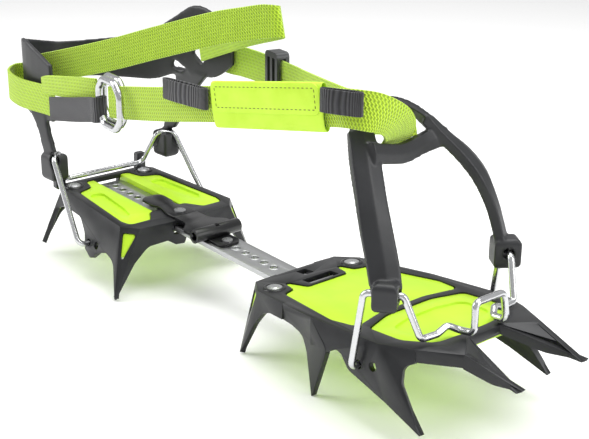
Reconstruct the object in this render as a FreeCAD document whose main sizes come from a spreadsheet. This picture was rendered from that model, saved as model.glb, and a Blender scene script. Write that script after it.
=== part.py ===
import FreeCAD, Part
import math, os

# Strap-on crampon for the right boot, fitted out the way it leaves the factory.
# Heel parts are drawn in the heel frame's own axes and front parts in the front frame's
# own axes: X towards the toe, Y towards the wearer's left, Z up, plate tops at z = 0.
# Straps are drawn in level axes that share the heel frame's origin.

V = FreeCAD.Vector
doc = FreeCAD.newDocument("crampon")
os.makedirs("parts", exist_ok=True)

# ---------------------------------------------------------------- driving dimensions (mm, degrees)
SIZES = [
    ("sheet_thickness", 3.0), ("stand_height", 38.1), ("shift_forward", 11.48), ("shift_left", 3.905),
    ("heel_pitch", 3.0), ("front_pitch", -4.09), ("front_lift", 0.11),
    ("bar_width", 20.0), ("bar_thickness", 2.8), ("bar_drop", 3.6), ("hole_pitch", 8.5),
    ("hole_radius", 2.3), ("first_hole", -161.5), ("last_hole", 0.0), ("lock_hole", -42.5),
    ("wire_radius", 1.75), ("rivet_radius", 4.2), ("rivet_height", 1.1),
    ("lever_thickness", 1.6), ("curl_radius", 4.2), ("curl_length", 33.0), ("slit_width", 2.6),
    ("slab_depth", 5.4), ("web_depth", 2.6), ("lug_hole", 2.4), ("cradle_thickness", 5.0),
    ("band_thickness", 2.6), ("webbing_width", 19.0), ("webbing_thickness", 1.6), ("ring_section", 2.1), ("cradle_eye", 2.85),
    ("buckle_width", 28.0), ("buckle_plate", 2.4),
]
sheet = doc.addObject("Spreadsheet::Sheet", "Sizes")
for row, (alias, value) in enumerate(SIZES, start=1):
    sheet.set("A%d" % row, alias)
    sheet.set("B%d" % row, str(value))
    sheet.setAlias("B%d" % row, alias)
doc.recompute()
size = {alias: float(sheet.get(alias)) for alias, _ in SIZES}

thick = size["sheet_thickness"]
parts = []


def turned(pitch, lift):
    """Placement that tips a group about Y and stands it on the ground at the model's origin."""
    base = V(size["shift_forward"], size["shift_left"], size["stand_height"] + lift)
    return FreeCAD.Placement(base, FreeCAD.Rotation(V(0, 1, 0), pitch))


heel_place = turned(size["heel_pitch"], 0)
front_place = turned(size["front_pitch"], size["front_lift"])
level_place = turned(0, 0)


def keep(obj, label, place):
    obj.Label = label
    obj.Placement = place
    parts.append(obj)
    return obj


# ---------------------------------------------------------------- outline and sketch helpers
def rounded(points):
    """Closed outline from corners (x, y, radius): straight runs joined by tangent arcs."""
    runs = []
    count = len(points)
    for i, (x, y, radius) in enumerate(points):
        here = V(x, y, 0)
        back = V(points[i - 1][0], points[i - 1][1], 0) - here
        ahead = V(points[(i + 1) % count][0], points[(i + 1) % count][1], 0) - here
        half = back.getAngle(ahead) / 2
        if radius <= 0 or half > 1.56:
            runs.append((here, None, here))
            continue
        reach = min(radius / math.tan(half), 0.49 * back.Length, 0.49 * ahead.Length)
        start = here + V(back).normalize() * reach
        end = here + V(ahead).normalize() * reach
        middle = V(back).normalize() + V(ahead).normalize()
        centre = here + middle.normalize() * (reach / math.cos(half))
        bulge = centre + (here - centre).normalize() * (reach * math.tan(half))
        runs.append((start, bulge, end))
    shapes = []
    for i, (start, bulge, end) in enumerate(runs):
        if bulge is not None:
            shapes.append(Part.Arc(start, bulge, end))
        following = runs[(i + 1) % count][0]
        if (following - end).Length > 1e-6:
            shapes.append(Part.LineSegment(end, following))
    return shapes


def circle(x, y, radius):
    return [Part.Circle(V(x, y, 0), V(0, 0, 1), radius)]


def mirrored_y(points):
    """Corner list of one side completed with its mirror image across the centre line."""
    return points + [(x, -y, r) for x, y, r in reversed(points) if abs(y) > 1e-6]


def new_body(label, place):
    return keep(doc.addObject("PartDesign::Body", label), label, place)


def sketch_in(body, shapes, offset=None):
    """Sketch on the body's own XY plane, moved by an attachment offset."""
    plane = next(f for f in body.Origin.OriginFeatures if f.Role == "XY_Plane")
    sketch = body.newObject("Sketcher::SketchObject", body.Name + "_outline")
    sketch.AttachmentSupport = [(plane, "")]
    sketch.MapMode = "FlatFace"
    sketch.AttachmentOffset = offset or FreeCAD.Placement()
    sketch.addGeometry(shapes, False)
    return sketch


def pad(body, shapes, length, offset=None, reverse=False):
    feature = body.newObject("PartDesign::Pad", body.Name + "_pad")
    feature.Profile = sketch_in(body, shapes, offset)
    feature.Reversed = reverse
    if isinstance(length, str):
        feature.setExpression("Length", "Sizes." + length)
    else:
        feature.Length = length
    doc.recompute()
    return feature


def pocket(body, shapes, length, offset=None):
    """Cut the same distance to both sides of the sketch, and prove that it removed metal."""
    before = body.Shape.Volume
    feature = body.newObject("PartDesign::Pocket", body.Name + "_pocket")
    feature.Profile = sketch_in(body, shapes, offset)
    feature.Midplane = True
    feature.Length = length
    doc.recompute()
    if body.Shape.Volume > before - 0.01:
        raise RuntimeError("a pocket in %s cuts nothing" % body.Label)
    return feature


def mirror_features(body, features):
    """Repeat each feature across the centre line, one mirror at a time."""
    plane = next(f for f in body.Origin.OriginFeatures if f.Role == "XZ_Plane")
    for feature in features:
        mirror = body.newObject("PartDesign::Mirrored", body.Name + "_mirror")
        mirror.Originals = [feature]
        mirror.MirrorPlane = (plane, [""])
        body.Tip = mirror
        doc.recompute()


def fold(start, end, tip):
    """Plane of a folded flange from its plate edge to a spike tip, facing inwards.

    Gives the sketch placement, the edge length and the tip as (along the edge, down the flange)."""
    along = (end - start).normalize()
    inward = along.cross(tip - start).normalize()
    down = inward.cross(along)
    turn = FreeCAD.Rotation(along, down, inward, "XYZ")
    arm = tip - start
    return FreeCAD.Placement(start, turn), (end - start).Length, (arm.dot(along), arm.dot(down))


def at_depth(offset, depth):
    """The same sketch plane moved along its own normal."""
    return FreeCAD.Placement(offset.Base + offset.Rotation.multVec(V(0, 0, depth)), offset.Rotation)


def corner_window(length, tip):
    """Three-cornered opening in a folded corner."""
    reach = 0.50
    return [(0.16 * length, 3.4, 1.2), (0.86 * length, 3.4, 1.2),
            (reach * tip[0] + 0.12 * length, reach * tip[1], 1.0)]


def web_root(length):
    """Stem that ties a corner patch to the slab behind it."""
    return [(0.32 * length, 3.6, 0), (0.70 * length, 3.6, 0), (0.60 * length, 8.5, 0), (0.36 * length, 8.5, 0)]


def inset_window(corners, gap):
    middle_x = sum(c[0] for c in corners) / 3
    middle_y = sum(c[1] for c in corners) / 3
    shrink = 1 - gap / 4.0
    return [(middle_x + (x - middle_x) * shrink, middle_y + (y - middle_y) * shrink, r)
            for x, y, r in corners]


# ---------------------------------------------------------------- heel frame
HEEL_EDGE = [V(-176.5, 0, 0), V(-176.5, -29, 0), V(-170, -35.5, 0),
             V(-93, -42, 0), V(-83.5, -34, 0), V(-81, 0, 0)]
HEEL_FRONT_TIP = V(-82, -54, -43.1)
HEEL_REAR_TIP = V(-183.5, -45, -42.4)
HEEL_WINDOW = mirrored_y([(-172.3, -16.5, 3), (-161, -19, 4), (-157, -31, 4), (-100, -36.6, 4),
                          (-92.3, -35, 4), (-92.3, -20, 3), (-103, -13, 4)])
LUG_HOLES = [(46.0, 21.0), (55.5, 19.8)]
TIP_BLUNT = 0.3


def build_heel_frame():
    body = new_body("heel_frame", heel_place)
    plate = mirrored_y([(p.x, p.y, 0) for p in HEEL_EDGE[1:5]])
    pad(body, rounded(plate), "sheet_thickness", reverse=True)
    pocket(body, rounded(HEEL_WINDOW), 10)
    features = []
    rear, corner_r, side, corner_f, front = [
        fold(HEEL_EDGE[i], HEEL_EDGE[i + 1], HEEL_REAR_TIP if i < 2 else HEEL_FRONT_TIP) for i in range(5)]
    offset, length, tip = rear
    features.append(pad(body, rounded([(0, 0, 0), (length, 0, 0), (tip[0], tip[1], TIP_BLUNT), (33, 20, 12),
                                       (21, 9, 9), (0, 9, 0)]), "sheet_thickness", offset))
    rear_tip_on_side = fold(HEEL_EDGE[2], HEEL_EDGE[3], HEEL_REAR_TIP)[2]
    offset, length, tip = side
    features.append(pad(body, rounded(
        [(0, 0, 0), (rear_tip_on_side[0], rear_tip_on_side[1], TIP_BLUNT), (-3, 14, 9), (8, 9.5, 8), (30, 9.5, 8),
         (39, 17, 8), (43, 26, 3), (52, 29.5, 3), (58.5, 23.5, 4), (68, 20, 6), (78, 22, 9),
         (tip[0], tip[1], TIP_BLUNT), (length, 0, 0)]), "sheet_thickness", offset))
    for x, y in LUG_HOLES:
        features.append(pocket(body, circle(x, y, size["lug_hole"]), 14, offset))
    offset, length, tip = front
    features.append(pad(body, rounded(
        [(0, 0, 0), (tip[0], tip[1], TIP_BLUNT), (-4.5, 21, 12), (5, 12.5, 9), (19, 11.6, 3), (24.6, 15.2, 1.5),
         (31, 15.6, 1.5), (32.5, 11.5, 1), (length, 11.5, 0), (length, 0, 0)]), "sheet_thickness", offset))
    for offset, length, tip in (corner_r, corner_f):
        features.append(pad(body, rounded([(0, 0, 0), (tip[0], tip[1], TIP_BLUNT), (length, 0, 0)]),
                            "sheet_thickness", offset))
        features.append(pocket(body, rounded(corner_window(length, tip)), 7, offset))
    mirror_features(body, features)
    slot_width = size["bar_width"] + 1.2
    pocket(body, rounded([(-190, -slot_width / 2, 0), (-70, -slot_width / 2, 0), (-70, slot_width / 2, 0),
                          (-190, slot_width / 2, 0)]), 2 * size["bar_thickness"],
           FreeCAD.Placement(V(0, 0, -size["bar_drop"] - size["bar_thickness"] + 0.6), FreeCAD.Rotation()))


# ---------------------------------------------------------------- front frame
FRONT_EDGE = [V(17.5, 0, 0), V(19, -29, 0), V(31, -37.5, 0), V(55, -40.8, 0), V(80, -44.2, 0),
              V(128, -45.5, 0), V(146, -39, 0), V(166, -28, 0)]
FRONT_TIPS = [V(15, -40, -40), V(77, -43, -44.6), V(157.5, -48.4, -36.8), V(195.1, -23.6, -10.2)]
POINT_ROOT = V(154.5, -11, 0)
REAR_WINDOW = mirrored_y([(44.5, -14.5, 2), (33, -17.5, 3), (33, -20.5, 3), (42, -22.5, 4), (44.5, -31, 5),
                          (90, -39.5, 8), (106, -37, 4), (100.5, -16, 20)])
TOE_WINDOW = mirrored_y([(104.5, -16, 20), (111, -34.5, 4), (133, -35, 10), (147, -26, 8), (148.5, -10, 6)])
BAR_SLOT = mirrored_y([(35.5, -10.6, 1), (43, -10.6, 1)])
KEY_HOLE = mirrored_y([(22.5, -3.4, 1), (30.5, -3.4, 1)])


def build_front_frame():
    body = new_body("front_frame", front_place)
    edge = [(p.x, p.y, 0) for p in FRONT_EDGE[1:]] + [(POINT_ROOT.x, POINT_ROOT.y, 2)]
    pad(body, rounded(mirrored_y(edge)), "sheet_thickness", reverse=True)
    for opening in (REAR_WINDOW, TOE_WINDOW, BAR_SLOT, KEY_HOLE):
        pocket(body, rounded(opening), 10)
    features = []

    def flange(start, end, tip, make_outline):
        offset, length, tip_at = fold(start, end, tip)
        features.append(pad(body, rounded(make_outline(length, tip_at)), "sheet_thickness", offset))
        return offset, length, tip_at

    heel_tip, middle_tip, lug_tip, toe_tip = FRONT_TIPS
    q = FRONT_EDGE
    flange(q[0], q[1], heel_tip, lambda n, t: [
        (14, 0, 0), (14, 3.2, 0), (21, 6, 5), (28, 14, 9), (t[0], t[1], TIP_BLUNT), (n, 0, 0)])
    offset, length, tip = flange(q[1], q[2], heel_tip, lambda n, t: [(0, 0, 0), (t[0], t[1], TIP_BLUNT), (n, 0, 0)])
    features.append(pocket(body, rounded(corner_window(length, tip)), 7, offset))
    flange(q[2], q[3], heel_tip, lambda n, t: [
        (0, 0, 0), (t[0], t[1], TIP_BLUNT), (-2, 19, 18), (6, 10.5, 8), (13, 8.6, 6), (n, 8.6, 0), (n, 0, 0)])
    flange(q[3], q[4], middle_tip, lambda n, t: [
        (0, 0, 0), (-1.2, 8.9, 0), (8, 9.6, 6), (17, 12, 7), (20, 20, 9), (t[0], t[1], TIP_BLUNT),
        (38, 13.3, 5), (n, 0, 0)])
    offset, length, tip = flange(q[4], q[5], lug_tip, lambda n, t: [
        (0, 0, 0), (0, 14, 0), (13, 14.5, 4), (19.5, 11.2, 3), (23, 12.5, 3), (28, 19, 6), (54, 27.5, 18),
        (t[0], t[1], TIP_BLUNT), (n, 0, 0)])
    for x, y in ((35.1, 14.2), (45.0, 12.4)):
        features.append(pocket(body, circle(x, y, size["lug_hole"]), 14, offset))
    flange(q[5], q[6], lug_tip, lambda n, t: [
        (0, 0, 0), (t[0], t[1], TIP_BLUNT), (14.2, 16.5, 8), (14.2, 8.5, 4), (n + 0.4, 6.2, 0), (n, 0, 0)])
    down = V(0, 0, -20)
    flange(q[6], q[7], q[7] + down, lambda n, t: [(0, 0, 0), (0, 6.2, 0), (n + 0.4, 6.5, 0), (n, 0, 0)])
    flange(q[7], toe_tip, q[7] + down, lambda n, t: [
        (0, 0, 0), (1.5, 7.0, 0), (0.55 * n, 5.6, 20), (n, 0.4, 0.3), (n, 0, 0)])
    flange(toe_tip, POINT_ROOT, POINT_ROOT + down, lambda n, t: [
        (0, 0, 0), (0, 0.4, 0.3), (0.45 * n, 4.6, 20), (n - 0.5, 4.6, 0), (n, 0, 0)])
    flange(POINT_ROOT, V(154.5, 0, 0), V(154.5, 0, -20), lambda n, t: [
        (0, 0, 0), (0, 4.6, 0), (n, 4.6, 0), (n, 0, 0)])
    offset, length, tip = fold(POINT_ROOT, q[7], toe_tip)
    features.append(pad(body, rounded([(-1, -1.5, 0), (tip[0] - 7, 0.55 * tip[1], 22), (tip[0], tip[1], 0.6),
                                       (length + 3.5, 0.35 * tip[1], 22), (length, 0, 0)]),
                        "sheet_thickness", offset, reverse=True))
    mirror_features(body, features)


# ---------------------------------------------------------------- anti-snow plates
def build_heel_antiball_plate():
    body = new_body("heel_antiball_plate", heel_place)
    slab = mirrored_y([(-172.5, -28, 2), (-168, -31.5, 2), (-94.5, -37.6, 2), (-87.5, -31.5, 2), (-84.6, -6, 0)])
    top = FreeCAD.Placement(V(0, 0, -thick - 0.05), FreeCAD.Rotation())
    pad(body, rounded(slab), "slab_depth", top, reverse=True)
    raised = mirrored_y([(-171.6, -16, 3), (-160.4, -19.3, 4), (-156.4, -30.5, 4), (-100, -36, 4),
                         (-92.9, -34.5, 4), (-92.9, -20.4, 3), (-103.6, -13.4, 4)])
    crown = FreeCAD.Placement(V(0, 0, -0.7), FreeCAD.Rotation())
    pad(body, rounded(raised), 5.0, crown, reverse=True)
    features = []
    for i, tip in ((1, HEEL_REAR_TIP), (3, HEEL_FRONT_TIP)):
        offset, length, tip_at = fold(HEEL_EDGE[i], HEEL_EDGE[i + 1], tip)
        patch = inset_window(corner_window(length, tip_at), 0.35)
        features.append(pad(body, rounded(web_root(length)), 7.0, at_depth(offset, 2.0)))
        features.append(pad(body, rounded(patch), "web_depth", at_depth(offset, 0.7)))
    mirror_features(body, features)
    channel = size["bar_width"] / 2 + 0.6
    pocket(body, rounded(mirrored_y([(-190, -channel, 0), (-70, -channel, 0)])), 8.0,
           FreeCAD.Placement(V(0, 0, -size["bar_drop"] - size["bar_thickness"] - 0.3 + 4.0), FreeCAD.Rotation()))
    valley = [(-150, -28, 4), (-112, -31.5, 4), (-104, -26, 4), (-118, -22, 5), (-150, -18, 4)]
    groove = FreeCAD.Placement(V(0, 0, -0.7), FreeCAD.Rotation())
    dents = [pocket(body, rounded(valley), 3.0, groove)]
    mirror_features(body, dents)


def build_front_antiball_plate():
    body = new_body("front_antiball_plate", front_place)
    slab = mirrored_y([(24, -12.5, 2), (24, -28, 4), (33, -33.6, 3), (80, -40.3, 3), (127, -41.4, 4),
                       (144, -35, 4), (151, -24, 4), (149.3, -10, 4)])
    top = FreeCAD.Placement(V(0, 0, -thick - 0.05), FreeCAD.Rotation())
    pad(body, rounded(slab), "slab_depth", top, reverse=True)
    rear = mirrored_y([(45.2, -14.2, 2), (34, -18, 3), (34, -20, 3), (43, -22.1, 4), (45.3, -31, 5),
                       (90, -39, 8), (105, -36.8, 4), (99.9, -16, 20)])
    toe = mirrored_y([(105.1, -16, 20), (111.5, -34, 4), (133, -34.4, 10), (146.4, -25.7, 8), (147.9, -10, 6)])
    crown = FreeCAD.Placement(V(0, 0, -0.7), FreeCAD.Rotation())
    pad(body, rounded(rear), 4.0, crown, reverse=True)
    pad(body, rounded(toe), 4.0, crown, reverse=True)
    offset, length, tip_at = fold(FRONT_EDGE[1], FRONT_EDGE[2], FRONT_TIPS[0])
    patch = inset_window(corner_window(length, tip_at), 0.35)
    stem = pad(body, rounded(web_root(length)), 9.0, at_depth(offset, 2.0))
    mirror_features(body, [stem, pad(body, rounded(patch), "web_depth", at_depth(offset, 0.7))])
    bar_gap = size["bar_width"] / 2 + 1.5
    pocket(body, rounded(mirrored_y([(10, -bar_gap, 0), (47.0, -bar_gap, 2)])), 12.0,
           FreeCAD.Placement(V(0, 0, -8.6), FreeCAD.Rotation()))
    valley = [(114, -10, 5), (118, -26, 6), (138, -24, 6), (142, -4, 5), (142, 4, 5), (138, 24, 6), (118, 26, 6),
              (114, 10, 5)]
    pocket(body, rounded(valley), 2.4, crown)


# ---------------------------------------------------------------- rivets
def build_rivets(label, centres, place):
    """Domed heads on shanks that fill the plate's own thickness, as one group."""
    heads = []
    for x, y in centres:
        head = Part.makeCylinder(size["rivet_radius"], 0.5, V(x, y, 0.02))
        dome = Part.makeCone(size["rivet_radius"], 2.6, size["rivet_height"] - 0.5, V(x, y, 0.52))
        heads.append(head.fuse(dome).removeSplitter())
    group = doc.addObject("Part::Feature", label)
    group.Shape = Part.makeCompound(heads)
    keep(group, label, place)


# ---------------------------------------------------------------- link bar, lever and lock pin
def build_link_bar():
    body = new_body("link_bar", heel_place)
    half = size["bar_width"] / 2
    top = FreeCAD.Placement(V(0, 0, -size["bar_drop"]), FreeCAD.Rotation())
    outline = mirrored_y([(-170, -half, 4), (33, -half, 0), (33, -half + 0.6, 0), (41.2, -half + 0.6, 0)])
    pad(body, rounded(outline), "bar_thickness", top, reverse=True)
    tab = mirrored_y([(38.4, -half + 0.6, 0), (41.2, -half + 0.6, 0)])
    pad(body, rounded(tab), 7.4, FreeCAD.Placement(V(0, 0, -4.0), FreeCAD.Rotation()))
    count = int(round((size["last_hole"] - size["first_hole"]) / size["hole_pitch"]))
    holes = []
    for i in range(count + 1):
        holes += circle(size["first_hole"] + i * size["hole_pitch"], 0, size["hole_radius"])
    pocket(body, holes, 9, top)


LEVER_FLEX = -84.0


def build_lever_tongue():
    """Rear half of the spring lever, held flat on the heel frame by its rivet."""
    body = new_body("lever_tongue", heel_place)
    plan = mirrored_y([(-122.5, -4, 4), (-120, -8, 6), (-109, -7.5, 4), (-104, -5.6, 4), (-92, -8.5, 6),
                       (LEVER_FLEX - 0.2, -8.5, 0)])
    pad(body, rounded(plan), "lever_thickness", FreeCAD.Placement(V(0, 0, 0.1), FreeCAD.Rotation()))


def build_length_lever():
    body = new_body("length_lever", heel_place)
    plan = mirrored_y([(LEVER_FLEX + 0.2, -8.5, 0), (-72, -8.5, 8), (-64, -16.5, 4), (-54.5, -16.5, 0)])
    pad(body, rounded(plan), "lever_thickness", FreeCAD.Placement(V(0, 0, 0.1), FreeCAD.Rotation()))
    radius = size["curl_radius"]
    centre = V(-53.5, 0, radius - size["bar_drop"] + 0.3)
    facing = FreeCAD.Rotation(V(1, 0, 0), V(0, 0, 1), V(0, -1, 0), "XYZ")
    curl_start = FreeCAD.Placement(centre + V(0, size["curl_length"] / 2, 0), facing)
    pad(body, circle(0, 0, radius) + circle(0, 0, radius - size["lever_thickness"]), "curl_length", curl_start)
    lip = mirrored_y([(-53.5, -7.5, 0), (-38, -7.5, 4)])
    pad(body, rounded(lip), 1.4, FreeCAD.Placement(V(0, 0, -size["bar_drop"] + 0.3), FreeCAD.Rotation()))
    slit = size["slit_width"] / 2
    pocket(body, rounded(mirrored_y([(-59.5, -slit, 0), (-51.5, -slit, 0)])), 6.0,
           FreeCAD.Placement(V(0, 0, 4.0), FreeCAD.Rotation()))
    pocket(body, circle(size["lock_hole"], 0, 2.05), 6, FreeCAD.Placement(V(0, 0, -2.6), FreeCAD.Rotation()))


def build_pin(label, x, radius, low, high, head_radius, head_height, place):
    body = new_body(label, place)
    pad(body, circle(x, 0, radius), high - low, FreeCAD.Placement(V(0, 0, low), FreeCAD.Rotation()))
    pad(body, circle(x, 0, head_radius), head_height, FreeCAD.Placement(V(0, 0, high), FreeCAD.Rotation()))


# ---------------------------------------------------------------- bent wire
def bent_wire(points, bend, radius):
    """Round wire along straight runs joined by arcs of one bend radius."""
    edges = []
    last = points[0]
    for i in range(1, len(points) - 1):
        here = points[i]
        back = (points[i - 1] - here)
        ahead = (points[i + 1] - here)
        half = back.getAngle(ahead) / 2
        reach = min(bend / math.tan(half), 0.45 * back.Length, 0.45 * ahead.Length)
        back.normalize()
        ahead.normalize()
        start = here + back * reach
        end = here + ahead * reach
        middle = (back + ahead).normalize()
        centre = here + middle * (reach / math.cos(half))
        bulge = centre - middle * (reach * math.tan(half))
        edges.append(Part.LineSegment(last, start).toShape())
        edges.append(Part.Arc(start, bulge, end).toShape())
        last = end
    edges.append(Part.LineSegment(last, points[-1]).toShape())
    path = Part.Wire(edges)
    section = Part.Wire([Part.Circle(points[0], points[1] - points[0], radius).toShape()])
    return path.makePipeShell([section], True, False)


def both_sides(points):
    """Route from the near end across the centre line to the far end."""
    return points + [V(p.x, -p.y, p.z) for p in reversed(points)]


FRONT_BAIL = [V(115.1, -42.0, -14.2), V(115.1, -50.6, -14.2), V(123.6, -49.2, 25.3), V(138.6, -38.3, 24.2),
              V(144.4, -33.7, 3.2), V(145.6, -24.0, 3.2), V(145.8, -17.0, 5.6), V(149.0, -12.4, 3.0),
              V(157.5, -11.6, 3.4), V(157.1, -10.2, 17.8)]
HEEL_BAIL = [V(-124.5, -40.0, -20.6), V(-124.5, -51.5, -21.0), V(-160.5, -46.5, 25.0), V(-167.5, -38.0, 25.5),
             V(-175.5, -31.0, 3.4)]


def build_wire(label, route, bend, place):
    wire = doc.addObject("Part::Feature", label)
    wire.Shape = bent_wire(both_sides(route), bend, size["wire_radius"])
    keep(wire, label, place)


# ---------------------------------------------------------------- ribbons: webbing and moulded bands
def ribbon(stations, thickness):
    """Band through stations (middle point, width vector), flat faces between stations."""
    wires = []
    count = len(stations)
    for i, (middle, across) in enumerate(stations):
        ahead = stations[min(i + 1, count - 1)][0] - stations[max(i - 1, 0)][0]
        face = ahead.cross(across).normalize() * (thickness / 2)
        half = across * 0.5
        corners = [middle - half - face, middle + half - face, middle + half + face, middle - half + face]
        wires.append(Part.makePolygon(corners + [corners[0]]))
    return Part.makeLoft(wires, True, True)


def build_ribbon(label, stations, thickness, place=None):
    band = doc.addObject("Part::Feature", label)
    band.Shape = ribbon(stations, thickness)
    keep(band, label, place or level_place)


WEB = size["webbing_width"]
UP = V(0, 0, 1)


def upright(x, y, z, width=WEB):
    return (V(x, y, z), UP * width)


def leaning(x, y, z, across, width=WEB):
    return (V(x, y, z), V(*across).normalize() * width)


# near strap from the rings, through the sleeve, to the opening of the front cradle
NEAR_STRAP = [upright(-64.6, -52, 88.1), upright(-29, -51.6, 94.1), upright(10, -50.1, 101.5),
              upright(83.5, -37.3, 112.1), leaning(95.5, -35.8, 113.6, (1, 1, 8)),
              leaning(104.8, -28.5, 112.5, (0, 6, 9)), leaning(107.5, -17, 107.5, (0, 9, 5)),
              leaning(105, -6, 102, (0, 1, 0.2))]
# loose end of the same webbing, folded once and passed through the far wing
TAIL_LEAN = (-0.252, -0.077, 0.9645)
RETURN_LEAN = (-0.308, 0.067, 0.949)
LONG_TAIL = [leaning(-194, -35.4, 82.8, TAIL_LEAN), leaning(-186.2, -33, 84.4, TAIL_LEAN),
             leaning(-136.7, -17.9, 98.4, TAIL_LEAN), leaning(-102.3, -7.4, 109.8, TAIL_LEAN),
             leaning(-61, 5.3, 122.9, TAIL_LEAN), leaning(-20.5, 17.2, 133.3, TAIL_LEAN)]
TAIL_RETURN = [leaning(-20.2, 20.4, 133, RETURN_LEAN), leaning(-60, 29.8, 119.4, RETURN_LEAN),
               leaning(-90, 35.6, 109.4, RETURN_LEAN), leaning(-121.5, 39.9, 98.9, RETURN_LEAN)]
FAR_STRAP = [upright(-99, 47.4, 94), upright(-84, 46.4, 94.6), upright(-61.8, 43, 94.9), upright(-24, 34.6, 94.9),
             upright(-8.5, 30, 94.9), upright(35.8, 15, 96.7), upright(80, 5, 98.5, 15)]
NEAR_WRAP = [upright(-160, -48.2, 71), upright(-190, -48.6, 70), upright(-212, -45, 72), upright(-217.5, -38, 73),
             upright(-214, -33.5, 74)]
RING_TAB = [upright(-150, -51.6, 68, 15), upright(-118, -53.5, 74, 15), upright(-95.6, -53.5, 79.0, 14)]
RING_STRAP = [upright(-155, -50.6, 82, 12), upright(-120, -50.6, 86, 14), upright(-104, -50.4, 87.4, 15)]


# ---------------------------------------------------------------- moulded cradles
def softened(stations, steps):
    """Extra stations on a smooth curve through the given ones."""
    dense = []
    count = len(stations)
    for i in range(count - 1):
        before, here, ahead, after = [stations[max(0, min(count - 1, k))] for k in (i - 1, i, i + 1, i + 2)]
        for step in range(steps):
            u = step / steps
            weights = (-u ** 3 + 2 * u * u - u, 3 * u ** 3 - 5 * u * u + 2, -3 * u ** 3 + 4 * u * u + u,
                       u ** 3 - u * u)
            pair = []
            for part_of in (0, 1):
                total = V(0, 0, 0)
                for weight, station in zip(weights, (before, here, ahead, after)):
                    total += station[part_of] * (weight / 2)
                pair.append(total)
            dense.append(tuple(pair))
    return dense + [stations[-1]]


def ridged_bar(stations, thickness, ridge, steps=3):
    """Moulded bar with a flat back and a low ridge along its front."""
    wires = []
    run = softened(stations, steps)
    last = len(run) - 1
    for i, (middle, across) in enumerate(run):
        ahead = run[min(i + 1, last)][0] - run[max(i - 1, 0)][0]
        face = ahead.cross(across).normalize()
        back = face * (thickness / 2)
        half = across * 0.5
        corners = [middle - half + back, middle + half + back, middle + half - back,
                   middle - back - face * ridge, middle - half - back]
        wires.append(Part.makePolygon(corners + [corners[0]]))
    return Part.makeLoft(wires, True, True)


def tipped(point, pitch, lift=0):
    """A point of a tipped group's own axes, in level axes."""
    return FreeCAD.Rotation(V(0, 1, 0), pitch).multVec(point) + V(0, 0, lift)


def cradle_foot(middle, turn_angle, long, wide, tall):
    """Rounded block that the wire bail runs through."""
    foot = Part.makeBox(long, wide, tall, V(-long / 2, -wide / 2, -tall / 2))
    foot = foot.makeFillet(3.2, [e for e in foot.Edges if abs(e.tangentAt(e.FirstParameter).z) < 0.1])
    foot.Placement = FreeCAD.Placement(middle, FreeCAD.Rotation(V(0, 0, 1), turn_angle))
    return foot


def finish_cradle(label, shape, bail, pitch, lift, bend):
    route = [tipped(p, pitch, lift) for p in both_sides(bail)]
    cradle = doc.addObject("Part::Feature", label)
    cradle.Shape = shape.cut(bent_wire(route, bend, size["cradle_eye"])).removeSplitter()
    keep(cradle, label, level_place)


def build_heel_cradle():
    wall = [(-160, -43.6, 56, 92), (-190, -42.6, 56, 103), (-205, -36, 62, 101), (-212.5, -20, 66, 97),
            (-213, -4, 69, 94), (-203, 12, 70, 95), (-186, 26, 70, 98), (-166, 36.5, 71, 104),
            (-148, 41, 77, 114), (-128, 43, 79, 124), (-108, 43.6, 81, 121), (-90, 43.8, 92, 108)]
    stations = [(V(x, y, (low + high) / 2), UP * (high - low)) for x, y, low, high in wall]
    shape = ribbon(softened(stations, 4), size["band_thickness"])
    slots = [((-149, 84.5), (-133, 77.5), 5.0), ((-128, 96), (-119, 90), 6.0)]
    for (x1, z1), (x2, z2), gap in slots:
        run = V(x2 - x1, 0, z2 - z1)
        tilt = math.degrees(math.atan2(-run.z, run.x))
        cut = Part.makeBox(run.Length, 20, gap, V(0, -10, -gap / 2))
        cut.Placement = FreeCAD.Placement(V(x1, 42, z1), FreeCAD.Rotation(V(0, 1, 0), tilt))
        shape = shape.cut(cut)
    near_leg = ribbon([(V(-181, -43.2, 62), V(20, 0, 0)), (V(-170, -45, 48), V(13, 0, 0)),
                       (V(-163, -46.0, 36), V(12, 0, 4))], 3.4)
    far_leg = ribbon([(V(-133, 43.2, 81), V(34, 0, 0)), (V(-140, 44.0, 68), V(20, 0, 0)),
                      (V(-154, 45.0, 50), V(16, 0, 0)), (V(-163, 46.0, 36), V(14, 0, 4))], 3.4)
    shape = shape.fuse([near_leg, far_leg])
    for side in (-1, 1):
        shape = shape.fuse(cradle_foot(V(-164, side * 43, 26.5), 0, 15, 12, 18))
    finish_cradle("heel_cradle", shape, HEEL_BAIL, size["heel_pitch"], 0, 6.0)


NEAR_CRADLE_LEG = [(V(130.5, -43.2, 33), V(8.4, 12, 1)), (V(124.5, -40.4, 46), V(9.4, 12, 0)),
                   (V(116.2, -37, 60), V(8.5, 12.5, 0)), (V(108.3, -33.3, 73), V(5.8, 13.5, 0)),
                   (V(99, -28.5, 88), V(5, 14, 0)), (V(91.5, -25, 101), V(5, 11, 2))]
FAR_CRADLE_LEG = [(V(127.5, 43.8, 32), V(8.4, -12, 1)), (V(122.6, 42.6, 47), V(9.4, -11, 0)),
                  (V(119, 41, 58.5), V(8.5, -11, 0)), (V(114.4, 37.5, 71), V(5.8, -11.5, 0)),
                  (V(106.4, 33, 81.5), V(5, -11, 0)), (V(98, 25.5, 91), V(5, -11, 3)),
                  (V(94.2, 18.5, 98.5), V(5, -8, 4))]
CRADLE_FRONT_BAR = [(V(101.8, -27.5, 92.0), V(2, 0, -9.8)), (V(101, -18, 89.8), V(2, 0, -9.8)),
                    (V(99.3, -3.5, 87), V(2, 0, -9.6)), (V(97.8, 10, 88.4), V(2, 0, -9.6)),
                    (V(97.6, 18, 89.6), V(2, 0, -10)), (V(98.6, 28, 90), V(2, 0, -9))]
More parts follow.
